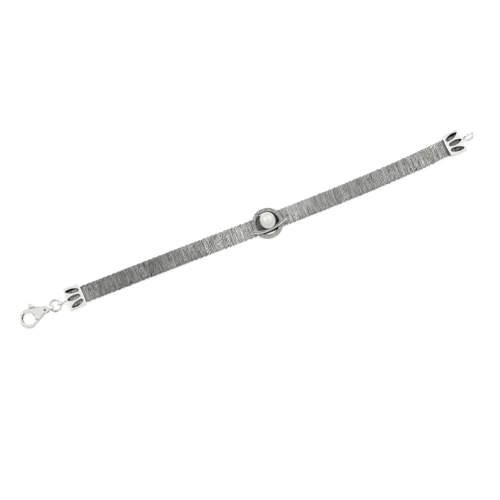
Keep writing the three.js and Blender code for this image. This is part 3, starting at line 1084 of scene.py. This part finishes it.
def crossing_turn(x, lean, dive):
    """A turn that leans along the band and dives in and out of the base winding."""
    across, up, facing = band_section(np.arange(TURN_POINTS) / TURN_POINTS, 0)
    at = x + lean * across
    depth = SKIN + DIVE["deep"] * (1 + np.clip(dive(at, across), -1, 1))
    depth += DIVE["edge"] * np.cos(facing) ** 2
    across = across - depth * np.cos(facing)
    up = up - depth * np.sin(facing)
    at = np.clip(at + parted(at, across), WIRE_START, WIRE_END)
    return winding_tube(at, across, up, facing, closed=True)


def frozen_wander(chance, length_x, length_y, count=9):
    """wander with its waves fixed, so that neighbouring turns follow one field."""
    waves = chance.uniform(-1, 1, (count, 2)) * TURN / np.array([length_x, length_y])
    starts = chance.uniform(0, TURN, count)

    def field(x, across):
        x, across = np.broadcast_arrays(x, across)
        angle = x[..., None] * waves[:, 0] + across[..., None] * waves[:, 1] + starts
        return np.sin(angle).sum(axis=-1) / math.sqrt(count) * 1.3

    return field


def leaning_turns(kind, chance, slant, dive):
    """A row of crossing turns of one kind, from end to end of the band."""
    turns = []
    x = CORE_START + kind["margin"]
    while x < CORE_END - kind["margin"]:
        drift = kind["drift"] * float(slant(np.array(x), np.array(kind["drift_line"])))
        lean = kind["lean"] + drift + chance.normal(0, kind["vary"])
        turns.append(crossing_turn(x, lean, dive))
        x += chance.uniform(kind["least"], kind["most"])
    return turns


def make_crossing_winding():
    """Turns that lean over the base winding, in two pieces: slightly leaning ones and steep ones."""
    chance = np.random.default_rng(29)
    dive = frozen_wander(chance, 1.5, 1.7)
    slant = frozen_wander(chance, 14, 14, 5)
    for n, kind in enumerate((SLIGHT_TURNS, STEEP_TURNS)):
        turns = leaning_turns(kind, chance, slant, dive)
        piece = mesh_object(f"crossing_winding_{n + 1}", *joined(turns))
        finish_piece(piece, WOUND_UPPER_LIT, "bracelet", "band")


def proud_turn(x, shift, lean, chance):
    """A nearly straight turn close under the band's envelope, a shift away from its place."""
    across, up, facing = band_section(np.arange(TURN_POINTS) / TURN_POINTS, 0)
    sway = PROUD_TURNS["wander"] * wander(x + 0 * across, across, chance, 5, 5)
    at = x + shift + lean * across + sway
    at = at + parted(at, across)
    depth = SKIN + PROUD_TURNS["deep"] * (1 + wander(at, across, chance, 3, 5))
    across, up = across - depth * np.cos(facing), up - depth * np.sin(facing)
    return winding_tube(at, across, up, facing, closed=True)


def make_proud_turns():
    """A few turns, alone or in twos, that lie proud of the rest and catch the light, with extra light
    painted on them.
    """
    chance = np.random.default_rng(41)
    turns = []
    x = BAND["left_mouth"] + PROUD_TURNS["margin"]
    while x < BAND["right_mouth"] - PROUD_TURNS["margin"]:
        lean = chance.normal(0.0, PROUD_TURNS["vary"])
        together = 2 if chance.uniform() < PROUD_TURNS["pairs"] else 1
        for k in range(together):
            turns.append(proud_turn(x, PROUD_TURNS["apart"] * k, lean, chance))
        x += chance.uniform(PROUD_TURNS["least"], PROUD_TURNS["most"])
    piece = mesh_object("proud_turns", *joined(turns))
    finish_piece(piece, WOUND_PROUD_LIT, "bracelet", "band")


# ---------------------------------------------------------------- end caps


def cap_outline():
    """The cap from above: a slightly bowed mouth and a wider, round-cornered end."""
    length, corner = CAP["length"], CAP["corner"]
    mouth, end = CAP["mouth_width"] / 2, CAP["end_width"] / 2
    return outline(
        bezier((0, mouth), (-2 * CAP["lip_bow"], 0), (0, -mouth), count=16),
        arc(length - corner, corner - end, corner, -QUARTER, 0, 10),
        arc(length - corner, end - corner, corner, 0, QUARTER, 10),
    )


def leaf_outline(length):
    """A leaf along x, round at its root, widest near its middle and nearly pointed at its tip."""
    root, belly, tip = LEAF["root"], LEAF["belly"], LEAF["tip"]
    widest = (0.42 * length, 1.25 * belly)
    upper = bezier((length, tip / 2), (0.8 * length, belly), widest, (root, root), count=16)
    lower = upper[::-1] * (1, -1)
    return outline(upper, arc(root, 0, root, QUARTER, 3 * QUARTER, 14), lower)


def leaf_cutter(row):
    """Cuts one leaf-shaped opening through the cap's top wall."""
    root, tip = np.array(row["root"]), np.array(row["tip"])
    shape = leaf_outline(float(np.linalg.norm(tip - root)))
    points, faces = flared_cutter(shape, CAP["height"] / 2, CAP["height"], CAP["rim"])
    points = turned(points, math.atan2(tip[1] - root[1], tip[0] - root[0]))
    return moved(points, root[0], root[1], 0), faces


def cavity_cutter():
    """Cuts the hollow that the band's end goes into."""
    width = CAP["cavity_width"] / 2
    height = BAND["thickness"] / 2 + GAP
    length, middle = CAP["cavity_length"], CAP["height"] / 2
    front = CAP["cavity_front"]
    shape = outline((front, -width), (length, -width), (length, width), (front, width))
    return layered([shape, shape], [middle - height, middle + height])


def make_cap(name, mouth, heading, fittings):
    """A cap at one end of the band. Its fittings, soldered to the closed end, are in its own frame."""
    base = rounded_plate(cap_outline(), 0, CAP["height"], CAP["edge"])
    cutters = [cavity_cutter()] + [leaf_cutter(row) for row in LEAVES]

    def placed(part):
        points, faces = part
        return moved(turned(points, heading), mouth, band_side(mouth), 0), faces

    fittings = [placed(part) for part in fittings]
    # The walls of the hollow and of the leaves are black as painted shade.
    cuts = [(BLACK, placed(part)) for part in cutters]
    cap = carve(name + "_shell", placed(base), cuts, 32, fittings)
    finish_piece(cap, None, "bracelet", name)


def foot(radius, reach, height):
    """A short round foot that joins a loop or ring to the cap's closed end."""
    start = CAP["length"] - 0.4
    points, faces = solid_lathe([(radius, 0), (radius, CAP["length"] + reach - start)], 24)
    points = np.column_stack([points[:, 2] + start, points[:, 0], points[:, 1] + height])
    return points, faces


def cap_loop_x():
    """The middle of the left cap's loop, from the cap's mouth."""
    return CAP["length"] + CAP_LOOP["radius"] + CAP_LOOP["wire"] / 2 - 0.1


def make_left_cap():
    """The cap on the clasp's side, with its upright loop."""
    loop, faces = torus(CAP_LOOP["radius"], CAP_LOOP["wire"])
    loop = moved(tipped(loop, QUARTER), cap_loop_x(), 0, CAP["height"] / 2)
    fittings = [foot(CAP_LOOP["foot"], CAP_LOOP["wire"], CAP["height"] / 2), (loop, faces)]
    mouth = BAND["left_mouth"]
    make_cap("end_cap_left", mouth, math.pi + band_heading(mouth), fittings)


def make_right_cap():
    """The cap at the other end, with its leaning end ring."""
    radius, wire = END_RING["radius"], END_RING["wire"]
    height = radius * math.sin(END_RING["tilt"]) + wire / 2 + 0.05
    ring, faces = torus(radius, wire)
    ring = moved(tipped(ring, END_RING["tilt"]), CAP["length"] + radius + wire / 2 - 0.05, 0, height)
    fittings = [foot(END_RING["foot"], wire, height), (ring, faces)]
    mouth = BAND["right_mouth"]
    make_cap("end_cap_right", mouth, band_heading(mouth), fittings)


def make_jump_ring():
    """A ring of round wire with a fine seam, lying through the cap's loop and the clasp's eye."""
    radius, wire = JUMP_RING["radius"], JUMP_RING["wire"]
    sweep = TURN - JUMP_RING["seam"]
    points, faces = torus(radius, wire, 96, start=JUMP_RING["seam_at"], sweep=sweep)
    drop = CAP["height"] / 2 - CLASP["thickness"] / 2
    tilt = math.atan2(drop, 2 * radius)
    cos, sin = math.cos(tilt), math.sin(tilt)
    points = np.column_stack(
        [points[:, 0] * cos + points[:, 2] * sin, points[:, 1], points[:, 2] * cos - points[:, 0] * sin]
    )
    reach = CAP_LOOP["radius"] - CAP_LOOP["wire"] / 2 - wire / 2 - JUMP_RING["play"]
    height = (CAP["height"] + CLASP["thickness"]) / 4
    points = moved(points, cap_loop_x() + reach + radius, JUMP_RING["side"], height)
    mouth = BAND["left_mouth"]
    points = turned(points, math.pi + band_heading(mouth))
    ring = mesh_object("jump_ring_wire", moved(points, mouth, band_side(mouth), 0), faces, 50)
    finish_piece(ring, WORN, "bracelet", "jump_ring")


# ---------------------------------------------------------------- setting, pearl and crossing wires

HAMMER = {
    "blows": 300,
    "smallest": 0.3,
    "largest": 0.62,
    "light": 0.03,
    "heavy": 0.14,
    "rough_side": 2.2,  # as an angle from the band's way
}


def hammer_marks(points):
    """How deep the hammer's round marks are at each point, deeper on the rough side."""
    chance = np.random.default_rng(5)
    marks = np.zeros(len(points))
    for _ in range(HAMMER["blows"]):
        angle = chance.uniform(0, TURN)
        rough = 0.5 + 0.5 * math.cos(angle - HAMMER["rough_side"])
        radius = chance.uniform(SETTING["inner"], SETTING["outer"])
        size = chance.uniform(HAMMER["smallest"], HAMMER["largest"])
        depth = (HAMMER["light"] + HAMMER["heavy"] * rough) * chance.uniform(0.4, 1.0)
        x, y = radius * math.cos(angle), radius * math.sin(angle)
        away = np.hypot(points[:, 0] - x, points[:, 1] - y)
        marks = np.maximum(marks, depth * np.clip(1 - (away / size) ** 2, 0, 1))
    return marks


def make_setting_ring():
    """A flat ring with a hammered top, rougher on the side away from the crossing wires."""
    outer, inner, edge = SETTING["outer"], SETTING["inner"], SETTING["edge"]
    bottom, top = SETTING["bottom"], SETTING["top"]
    profile = [(inner, bottom), (outer, bottom)]
    profile += [(outer, z) for z in np.linspace(bottom + 0.3, top - edge, 5)]
    profile += [tuple(p) for p in arc(outer - edge, top - edge, edge, 0.3, QUARTER, 5)]
    profile += [(r, top) for r in np.linspace(outer - edge, inner + edge, 12)[1:-1]]
    profile += [tuple(p) for p in arc(inner + edge, top - edge, edge, QUARTER, math.pi - 0.3, 5)]
    profile += [(inner, z) for z in np.linspace(top - edge, bottom, 6)[:-1]]
    points, faces = lathe(profile, 300)
    upper = smooth((points[:, 2] - bottom) / (top - bottom))
    points[:, 2] -= hammer_marks(points) * upper
    ring = mesh_object("setting_ring", points, faces)
    finish_piece(ring, HAMMERED, "bracelet", "setting")


def peg():
    """The pearl's peg, with the solder that flowed round its foot."""
    radius, top, floor = SETTING["peg_radius"], SETTING["peg_top"], SETTING["plate_top"]
    profile = [(1.3, floor - 0.2), (1.25, floor), (0.8, floor + 0.12), (0.45, floor + 0.28)]
    profile += [(radius, floor + 0.45), (radius, top - 0.1), (radius - 0.1, top)]
    points, faces = solid_lathe(profile, 24)
    return moved(points, PEARL["x"], PEARL["y"], 0), faces


def make_plate():
    """The dark plate under the pearl, toothed towards the crossing wires, with the peg for the pearl."""
    reach = SETTING["plate_reach"]
    low, high = (math.asin(SETTING[side] / reach) for side in ("plate_low", "plate_high"))
    across = np.linspace(-reach * math.cos(low), reach * math.cos(low), 97)[1:-1]
    teeth = SETTING["teeth_depth"] * np.sin(across * TURN / SETTING["plate_teeth"])
    shape = outline(
        arc(0, 0, reach, low, high, 24),
        arc(0, 0, reach, math.pi - high, math.pi - low, 24),
        np.column_stack([across, SETTING["plate_low"] + teeth]),
    )
    plate = rounded_plate(shape, SETTING["bottom"] + 0.05, SETTING["plate_top"], 0.08, 3)
    made = mesh_object("setting_plate", *joined([plate, peg()]), 32)
    finish_piece(made, BLACK, "bracelet", "setting")


def make_pearl():
    """A pearl, slightly uneven and a little longer across the band, drilled from below for its peg."""
    chance = np.random.default_rng(3)
    rows, columns = 64, 96
    lowest = -QUARTER + math.asin(PEARL["hole"] / PEARL["radius"])
    rise = np.linspace(lowest, QUARTER - 0.01, rows)
    angle = np.arange(columns) * TURN / columns
    lat, lon = np.meshgrid(rise, angle, indexing="ij")
    uneven = 1 - 0.004 * (1 + wander(lat * 6, lon * 0, chance, 9, 9))
    radius = PEARL["radius"] * uneven
    points = np.stack(
        [radius * np.cos(lat) * np.cos(lon), radius * np.cos(lat) * np.sin(lon), radius * np.sin(lat)],
        axis=-1,
    ).reshape(-1, 3)
    hole = np.column_stack([np.cos(angle), np.sin(angle)]) * PEARL["hole"]
    hole = np.column_stack([hole, np.full(columns, PEARL["hole_top"])])
    points = np.vstack([hole, points])
    faces = grid_faces(rows + 1, columns) + end_faces(len(points), columns)
    points = points * (1, PEARL["stretch"], 1)
    side = PEARL["y"] - (PEARL["stretch"] - 1) * PEARL["radius"]
    ball = mesh_object("pearl_ball", moved(points, PEARL["x"], side, PEARL["z"]), faces, 60)
    finish_piece(ball, LUSTRE, "bracelet", "pearl")


def length_along(path):
    """The length of a path up to each of its points."""
    return np.concatenate([[0], np.cumsum(np.linalg.norm(np.diff(path, axis=0), axis=1))])


def smooth_path(points, count):
    """A centripetal Catmull-Rom curve through the points, evenly spaced."""
    points = np.asarray(points, float)
    points = np.vstack([2 * points[0] - points[1], points, 2 * points[-1] - points[-2]])
    rows = []
    for a, b, c, d in zip(points, points[1:], points[2:], points[3:]):
        ab, bc, cd = (math.sqrt(np.linalg.norm(q - p)) for p, q in ((a, b), (b, c), (c, d)))
        into = ((b - a) / ab - (c - a) / (ab + bc) + (c - b) / bc) * bc
        away = ((c - b) / bc - (d - b) / (bc + cd) + (d - c) / cd) * bc
        t = np.linspace(0, 1, 40, endpoint=False)[:, None]
        curve = (2 * b - 2 * c + into + away) * t**3 + (3 * c - 3 * b - 2 * into - away) * t**2
        rows.append(curve + into * t + b)
    path = np.vstack(rows + [points[-2:-1]])
    length = length_along(path)
    even = np.linspace(0, length[-1], count)
    return np.column_stack([np.interp(even, length, path[:, n]) for n in range(3)])


def crossing_path(row, count):
    """A crossing wire's middle line: up out of the winding, over the ring and down again."""
    low, over = SETTING["bottom"] - 0.2, SETTING["top"] + CROSSOVER["height"]
    (ax, ay), *points, (bx, by) = row
    forward, sideways, up = 0.15, 0.03, 1.6
    rise = [(ax, ay, low), (ax + forward, ay - sideways, low + up)]
    fall = [(bx - forward, by - sideways, low + up), (bx, by, low)]
    return smooth_path(rise + [(x, y, over) for x, y in points] + fall, count)


# The crossing wires' places in plan, from the clasp's side to the end ring's.
PLAIN_WAY = [
    (-6.8, -1.75),
    (-6.3, -2.05),
    (-4.5, -2.74),
    (-2.8, -3.05),
    (-1.0, -3.13),
    (1.7, -2.9),
    (4.0, -2.42),
    (6.3, -1.66),
    (7.0, -1.35),
    (7.4, -1.1),
]
TWISTED_WAY = [
    (-6.8, -1.05),
    (-6.2, -1.35),
    (-4.5, -2.0),
    (-2.0, -2.63),
    (-0.4, -2.68),
    (2.4, -2.22),
    (4.4, -1.6),
    (6.1, -0.85),
    (6.7, -0.6),
]


def twisted_pair(path):
    """Two fine strands twisted round a path."""
    tangent = unit(np.gradient(path, axis=0))
    level = unit(np.cross([0, 0, 1.0], tangent))
    above = np.cross(tangent, level)
    twist = length_along(path) / CROSSOVER["twist"] * TURN
    radius = CROSSOVER["strand"] / 2
    strands = []
    for start in (0, math.pi):
        out = level * np.cos(twist + start)[:, None] + above * np.sin(twist + start)[:, None]
        strands.append(tube(path + out * radius, out, radius, 8))
    return joined(strands)


def make_crossover():
    """A bright round wire and, beside it towards the pearl, a finer pair twisted together."""
    count = 420
    above = np.tile([0, 0, 1.0], (count, 1))
    wire = tube(crossing_path(PLAIN_WAY, count), above, CROSSOVER["plain"] / 2, 12)
    plain = mesh_object("crossover_plain", *wire)
    finish_piece(plain, DRAWN, "bracelet", "crossover_wires")
    pair = mesh_object("crossover_twisted", *twisted_pair(crossing_path(TWISTED_WAY, count)))
    finish_piece(pair, TWISTED, "bracelet", "crossover_wires")


# ---------------------------------------------------------------- clasp
# Clasp millimetres: the pivot at the origin, x towards the hook, y towards the gate, z from mid thickness.


def in_clasp(part):
    """A part moved from clasp millimetres to where the clasp lies."""
    points, faces = part
    x, y = CLASP["pivot"]
    return moved(turned(points, CLASP["turn"]), x, y, CLASP["thickness"] / 2), faces


def upright_cutter(radius, x, half, rim, count):
    """A round cutter that leaves rounded rims at both faces."""
    angle = np.linspace(0, QUARTER, 5)
    grow = rim * (1 - np.cos(angle))
    rise = half - rim + rim * np.sin(angle)
    profile = [(radius + rim + CLEAR, -half - CLEAR)]
    profile += [(radius + g, -z) for g, z in zip(grow[::-1], rise[::-1])]
    profile += [(radius + g, z) for g, z in zip(grow, rise)]
    profile += [(radius + rim + CLEAR, half + CLEAR)]
    points, faces = solid_lathe(profile, count)
    return moved(points, x, 0, 0), faces


def teardrop():
    """The clasp from above: the hook's round and the cheeks' smaller one, joined by straight flanks."""
    hub, loop_x, loop = CLASP["hub"], CLASP["loop_x"], CLASP["loop_radius"]
    flank = math.acos((hub - loop) / loop_x)
    return outline(
        arc(loop_x, 0, loop, -flank, flank, 56), arc(0, 0, hub, flank, TURN - flank, 24)
    )


def gate_mouth():
    """What is cut away on the gate's side, between the cheeks' edge and the hook's tip."""
    rim = LEVER["reach"] + GAP
    return outline(
        (-3, 1.0),
        bezier((0.1, 0.95), (2.0, 0.75), (3.6, 2.35), count=10),
        (4.9, 0.9),
        (6.3, 1.0),
        arc(0, 0, rim, 0.3, 0.6, 10),
        (5, 6),
        (-3, 6),
    )


def across_clasp(part):
    """A turned part laid with its axis across the clasp, at the eye."""
    points, faces = part
    points = np.column_stack([points[:, 0], -points[:, 2], points[:, 1]])
    return moved(points, CLASP["eye_x"], 0, 0), faces


def eye():
    """The ring at the clasp's end that the jump ring passes through, with rounded edges."""
    outer, inner, half = CLASP["eye_radius"], CLASP["eye_hole"], CLASP["eye_width"] / 2
    edge = CLASP["eye_edge"]
    profile = []
    for x, z, start in (
        (inner + edge, edge - half, math.pi),
        (outer - edge, edge - half, 3 * QUARTER),
        (outer - edge, half - edge, 0),
        (inner + edge, half - edge, QUARTER),
    ):
        profile += [tuple(p) for p in arc(x, z, edge, start, start + QUARTER, 4)]
    return across_clasp(lathe(profile, 40))


def eye_bore():
    """Opens the eye's hole through what the eye is joined to."""
    return across_clasp(solid_lathe([(CLASP["eye_hole"], -3), (CLASP["eye_hole"], 3)], 40))


def slots():
    """The gap between the cheeks: room for the gate, and room for the thumb nub's arm."""
    back = LEVER["hub"] + GAP
    half = CLASP["slot"] / 2
    for shape in (
        [(-0.2, -1.25), (5.2, -0.75), (5.2, 5), (-back, 5), (-back, 0)],
        [(1.25, 0.2), (-back, 0), (-0.4, -4.2), (4.1, -4.2)],
    ):
        yield layered([np.array(shape), np.array(shape)], [-half, half])


def make_clasp_body():
    """Hook, cheeks and eye in one casting."""
    half = CLASP["thickness"] / 2
    base = rounded_plate(teardrop(), -half, half, CLASP["edge"], 8)
    opening = upright_cutter(CLASP["opening"], CLASP["loop_x"], half, CLASP["opening_rim"], 64)
    mouth = flared_cutter(gate_mouth(), -half, half, 0.12, both=True)
    bore = upright_cutter(PIN["radius"] + PIN["clearance"], 0, half, 0.03, 32)
    # The slots, bores and the eye's bore get painted shade; the hook's opening gets a painted dark
    # reflection.
    cuts = [(HOOK_PAINTED_REFLECTION, opening), (CAST_SILVER, mouth)]
    cuts += [(SHADED, part) for part in (*slots(), bore, eye_bore())]
    cuts = [(finish, in_clasp(part)) for finish, part in cuts]
    body = carve("clasp_shell", in_clasp(base), cuts, 32, [in_clasp(eye())], CAST_SILVER)
    finish_piece(body, None, "bracelet", "clasp_body")


def gate_arm():
    """The gate from the hub to its tip, which meets the hook."""
    reach, start, end = LEVER["reach"], LEVER["tip_from"], LEVER["tip_to"]
    low = (reach * math.cos(start), reach * math.sin(start))
    high = (reach * math.cos(end), reach * math.sin(end))
    points = outline(
        (-0.4, 0.9),
        bezier((4.3, 2.85), (5.2, 3.2), high, count=8),
        bezier(low, (5.2, 2.0), (4.5, 1.35), count=8),
        (2.9, 0.75),
        (0.6, -0.5),
    )
    return points[::-1]


def tab_arm():
    """The arm from the hub to the thumb nub."""
    return outline(
        (-0.55, -0.6),
        (-0.2, -1.5),
        (1.4, -2.6),
        (3.0, -3.45),
        (3.4, -3.4),
        (2.95, -2.85),
        (1.55, -1.75),
        (0.75, -0.45),
    )


def nub():
    """The thumb nub, from above."""
    return outline(
        (2.65, -3.2),
        bezier((3.35, -4.7), (3.6, -5.3), (4.2, -5.35), count=7),
        bezier((4.2, -5.35), (4.95, -5.4), (5.05, -4.8), count=7),
        bezier((5.15, -3.72), (4.2, -3.42), (3.3, -3.08), count=8),
    )


def make_lever():
    """The gate and its thumb nub, one piece on the pin."""
    half, nub_half = LEVER["thickness"] / 2, LEVER["nub"] / 2
    hub = solid_lathe([(LEVER["hub"], -half), (LEVER["hub"], half)], 40)
    joins = [
        rounded_plate(gate_arm(), -half, half, 0.25, 5),
        rounded_plate(tab_arm(), -half, half, 0.15, 4),
        rounded_plate(nub(), -nub_half, nub_half, 0.35, 6),
    ]
    bore = solid_lathe([(LEVER["hole"], -2), (LEVER["hole"], 2)], 40)
    cuts = [(SHADED, in_clasp(bore))]
    lever = carve("clasp_gate", in_clasp(hub), cuts, 32, [in_clasp(j) for j in joins], CAST_SILVER)
    finish_piece(lever, None, "lever", "clasp_lever")


def make_pin():
    """The rivet, with low domed heads."""
    half, radius, rise = PIN["length"] / 2, PIN["radius"], PIN["dome"]
    dome = [(radius * math.cos(a), half - rise + rise * math.sin(a)) for a in (0, 0.5, 1.0, 1.35)]
    profile = [(r, -z) for r, z in dome[::-1]] + dome
    pin = mesh_object("clasp_rivet", *in_clasp(solid_lathe(profile, 32)), 60)
    # Painted shade: the rivet is dark all over.
    finish_piece(pin, SHADED, "bracelet", "clasp_pin")


# ---------------------------------------------------------------- floor and light


def table_glass():
    """A pale table, faintly lit from below."""
    material, tree, shader, place = new_material("table_glass")
    cloud = noise(tree, place, 0.002, 2.0)
    tree.links.new(
        mix_colour(tree, cloud, (0.25, 0.25, 0.25, 1), (0.27, 0.27, 0.27, 1)),
        shader.inputs["Base Color"],
    )
    shader.inputs["Roughness"].default_value = 0.8
    shader.inputs["Emission Color"].default_value = (1, 1, 1, 1)
    shader.inputs["Emission Strength"].default_value = 0.82
    return material


def make_floor():
    """The table top, 24 metres square."""
    size = 12.0
    mesh = bpy.data.meshes.new("floor")
    corners = [(-size, -size, 0), (size, -size, 0), (size, size, 0), (-size, size, 0)]
    mesh.from_pydata(corners, [], [(0, 1, 2, 3)])
    floor = bpy.data.objects.new("floor", mesh)
    bpy.context.scene.collection.objects.link(floor)
    mesh.materials.append(table_glass())


def area_light(name, place, size, power):
    """A round soft light that points at the bracelet."""
    data = bpy.data.lights.new(name, "AREA")
    data.shape = "DISK"
    data.size = size
    data.energy = power
    light = bpy.data.objects.new(name, data)
    light.location = Vector(place)
    light.rotation_mode = "QUATERNION"
    light.rotation_quaternion = (-Vector(place)).to_track_quat("-Z", "Y")
    bpy.context.scene.collection.objects.link(light)


# The tent's brightness by height, from the horizon to overhead, and the lens hole's angles and its depth.
TENT = [(0.0, 0.08), (0.2, 0.2), (0.38, 0.6), (0.6, 0.9), (1.0, 0.95)]
LENS_HOLE = {"outside": 0.30, "inside": 0.18, "depth": 0.8}


def make_world():
    """A white tent: bright overhead, greyer towards the horizon, with the dark round hole for the lens."""
    world = bpy.data.worlds.new("studio")
    world.use_nodes = True
    tree = world.node_tree
    direction = node(tree, "TexCoord").outputs["Generated"]
    height = node(tree, "SeparateXYZ", {"Vector": direction}).outputs["Z"]
    tent = node(tree, "ValToRGB", {"Fac": height})
    set_ramp(tent, TENT)
    facing = node(tree, "VectorMath", {0: direction, 1: tuple(LENS_WAY)}, operation="DOT_PRODUCT")
    outside, inside = math.cos(LENS_HOLE["outside"]), math.cos(LENS_HOLE["inside"])
    hole = remap(tree, facing.outputs["Value"], outside, inside, 0.0, LENS_HOLE["depth"])
    colour = mix_colour(tree, hole, tent.outputs["Color"], (0.1, 0.1, 0.1, 1))
    tree.links.new(colour, tree.nodes["Background"].inputs["Color"])
    bpy.context.scene.world = world


def make_light():
    """The tent and the two soft lights, with plain colours."""
    make_world()
    area_light("key", place=(-0.75, 0.45, 0.85), size=1.2, power=3.5)
    area_light("fill", place=(0.8, 0.3, 0.75), size=1.2, power=3)
    bpy.context.scene.view_settings.view_transform = "Standard"


# ---------------------------------------------------------------- assembly

make_camera()
make_core()
make_base_winding()
make_crossing_winding()
make_proud_turns()
make_left_cap()
make_right_cap()
make_jump_ring()
make_setting_ring()
make_plate()
make_pearl()
make_crossover()
make_clasp_body()
make_lever()
make_pin()
make_floor()
make_light()
